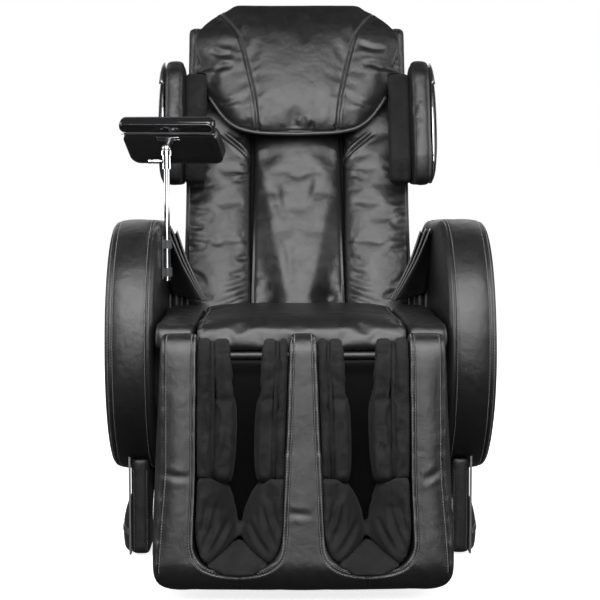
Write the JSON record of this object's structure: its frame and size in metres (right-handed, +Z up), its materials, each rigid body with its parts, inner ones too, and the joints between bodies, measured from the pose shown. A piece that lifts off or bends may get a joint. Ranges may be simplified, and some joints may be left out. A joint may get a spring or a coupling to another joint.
{
  "type": "massage chair",
  "caption": "Reclining massage armchair with curved armrests, shoulder wings, head pillow, a leg rest with calf wells and a screen on a side stand.",
  "frame": {"origin": "on the floor, under the middle of the chair's footprint", "axes": "+Z up, the sitter faces -Y, +X is to the sitter's left"},
  "size_m": [0.774, 1.238, 1.157],
  "materials": {
    "steel_black": "satin black powder coat",
    "steel_bright": "turned, zinc plated",
    "rubber": "matt moulded",
    "leather_black": "soft satin, fine pebble grain",
    "fabric_black": "matt knitted",
    "gloss_black": "polished",
    "silver_plastic": "satin silver lacquer",
    "chrome": "polished",
    "plastic_black": "fine textured",
    "motor_case": "textured grey moulding",
    "roller_plastic": "smooth nylon",
    "plywood": "bare birch ply",
    "screen_glass": "smoked, polished"
  },
  "bodies": {
    "base": {"base_frame": "steel_black", "levelling_feet": "rubber", "pivot_pins": "steel_bright", "armrest_left": "leather_black", "armrest_right": "leather_black", "arm_brackets": "steel_black", "arm_pleats": "leather_black", "side_panels": "leather_black", "base_trims": "silver_plastic", "foot_covers": "gloss_black", "control_box": "plastic_black", "air_pump": "plastic_black", "rear_skirt": "plastic_black", "power_panel": "plastic_black", "recline_drive": "motor_case", "legrest_drive": "motor_case", "seat_board": "plywood", "seat_cushion": "leather_black", "seat_side_pads": "leather_black", "seat_apron": "leather_black", "stand_bracket": "steel_black"},
    "left_wheel": {"wheel_left": "rubber"},
    "right_wheel": {"wheel_right": "rubber"},
    "switch": {"power_switch": "plastic_black"},
    "recline_push_rod": {"recline_rod": "steel_bright"},
    "legrest_push_rod": {"legrest_rod": "steel_bright"},
    "backrest": {"back_frame": "steel_black", "back_shell": "leather_black", "guide_rails": "steel_black", "lift_motor": "motor_case", "back_centre_pad": "leather_black", "back_bolsters": "leather_black", "shoulder_wings": "leather_black", "wing_pads": "fabric_black", "wing_trims": "chrome", "wing_covers": "gloss_black"},
    "screw": {"lift_screw": "steel_bright"},
    "carriage": {"massage_carriage": "steel_black", "massage_motor": "motor_case", "roller_arms": "steel_black"},
    "shaft": {"kneading_shaft": "steel_bright"},
    "rollers_up": {"upper_rollers": "roller_plastic"},
    "rollers_low": {"lower_rollers": "roller_plastic"},
    "pillow": {"head_pillow": "leather_black"},
    "legrest": {"legrest_shell": "plastic_black", "legrest_frame": "steel_black", "legrest_pads": "leather_black", "calf_airbags": "fabric_black", "foot_airbags": "fabric_black", "legrest_fins": "silver_plastic"},
    "stand": {"stand_tube": "chrome"},
    "knob": {"clamp_knob": "steel_bright"},
    "ball": {"ball_stud": "steel_bright"},
    "screen": {"screen_cradle": "gloss_black", "screen_unit": "gloss_black", "screen_glass": "screen_glass"},
    "button_power": {"power_button": "plastic_black"},
    "button_mode": {"mode_button": "plastic_black"},
    "key_back": {"back_key": "plastic_black"},
    "key_legrest": {"legrest_key": "plastic_black"}
  },
  "joints": [
    {"name": "recline_hinge", "type": "hinge", "parent": "base", "child": "backrest", "pos_m": [0, 0.21822, 0.34], "axis": [-1, 0, 0], "range_deg": [0, 48]},
    {"name": "recline_rod_slide", "type": "slide", "parent": "base", "child": "recline_push_rod", "axis": [0, -1, 0], "range_m": [0, 0.075]},
    {"name": "legrest_hinge", "type": "hinge", "parent": "base", "child": "legrest", "pos_m": [0, -0.38378, 0.375], "axis": [-1, 0, 0], "range_deg": [0, 78]},
    {"name": "legrest_rod_slide", "type": "slide", "parent": "base", "child": "legrest_push_rod", "axis": [0, -1, 0], "range_m": [0, 0.083]},
    {"name": "carriage_slide", "type": "slide", "parent": "backrest", "child": "carriage", "axis": [0, 0.4067, 0.9135], "range_m": [-0.16, 0.3]},
    {"name": "lift_screw_spin", "type": "hinge", "parent": "backrest", "child": "screw", "pos_m": [0.11, 0.40284, 0.69566], "axis": [0, 0.4067, 0.9135], "continuous": true},
    {"name": "kneading_shaft_spin", "type": "hinge", "parent": "carriage", "child": "shaft", "pos_m": [0, 0.34007, 0.65793], "axis": [1, 0, 0], "continuous": true},
    {"name": "upper_roller_spin", "type": "hinge", "parent": "carriage", "child": "rollers_up", "pos_m": [0, 0.3525, 0.72026], "axis": [1, 0, 0], "continuous": true},
    {"name": "lower_roller_spin", "type": "hinge", "parent": "carriage", "child": "rollers_low", "pos_m": [0, 0.30206, 0.60698], "axis": [1, 0, 0], "continuous": true},
    {"name": "pillow_flip", "type": "hinge", "parent": "backrest", "child": "pillow", "pos_m": [0, 0.53956, 1.0814], "axis": [-1, 0, 0], "range_deg": [0, 110]},
    {"name": "left_wheel_spin", "type": "hinge", "parent": "base", "child": "left_wheel", "pos_m": [0.263, 0.44622, 0.062], "axis": [1, 0, 0], "continuous": true},
    {"name": "right_wheel_spin", "type": "hinge", "parent": "base", "child": "right_wheel", "pos_m": [-0.263, 0.44622, 0.062], "axis": [1, 0, 0], "continuous": true},
    {"name": "stand_swivel", "type": "hinge", "parent": "base", "child": "stand", "pos_m": [-0.2755, -0.07178, 0.7], "axis": [0, 0, 1], "range_deg": [-60, 90]},
    {"name": "clamp_knob_turn", "type": "hinge", "parent": "stand", "child": "knob", "pos_m": [-0.3055, -0.07178, 0.796], "axis": [-1, 0, 0], "range_deg": [-180, 180]},
    {"name": "screen_tilt", "type": "hinge", "parent": "stand", "child": "ball", "pos_m": [-0.2755, -0.07178, 0.822], "axis": [0.9511, -0.309, 0], "range_deg": [-30, 30]},
    {"name": "screen_turn", "type": "hinge", "parent": "ball", "child": "screen", "pos_m": [-0.2755, -0.07178, 0.822], "axis": [0.2185, 0.6725, 0.7071], "range_deg": [-45, 45]},
    {"name": "power_button_press", "type": "slide", "parent": "screen", "child": "button_power", "axis": [-0.2185, -0.6725, -0.7071], "range_m": [0, 0.0015]},
    {"name": "mode_button_press", "type": "slide", "parent": "screen", "child": "button_mode", "axis": [-0.2185, -0.6725, -0.7071], "range_m": [0, 0.0015]},
    {"name": "back_key_rock", "type": "hinge", "parent": "screen", "child": "key_back", "pos_m": [-0.28487, -0.01, 0.82978], "axis": [0.9511, -0.309, 0], "range_deg": [-5, 5]},
    {"name": "legrest_key_rock", "type": "hinge", "parent": "screen", "child": "key_legrest", "pos_m": [-0.23161, -0.0273, 0.82978], "axis": [0.9511, -0.309, 0], "range_deg": [-5, 5]},
    {"name": "power_switch_rock", "type": "hinge", "parent": "base", "child": "switch", "pos_m": [0.092, 0.46622, 0.138], "axis": [-1, 0, 0], "range_deg": [0, 12]}
  ],
  "couplings": [
    {"joint": "recline_rod_slide", "follows": "recline_hinge", "m_per_rad": 0.087391},
    {"joint": "legrest_rod_slide", "follows": "legrest_hinge", "m_per_rad": 0.060096},
    {"joint": "lift_screw_spin", "follows": "carriage_slide", "rad_per_m": 314.16}
  ]
}
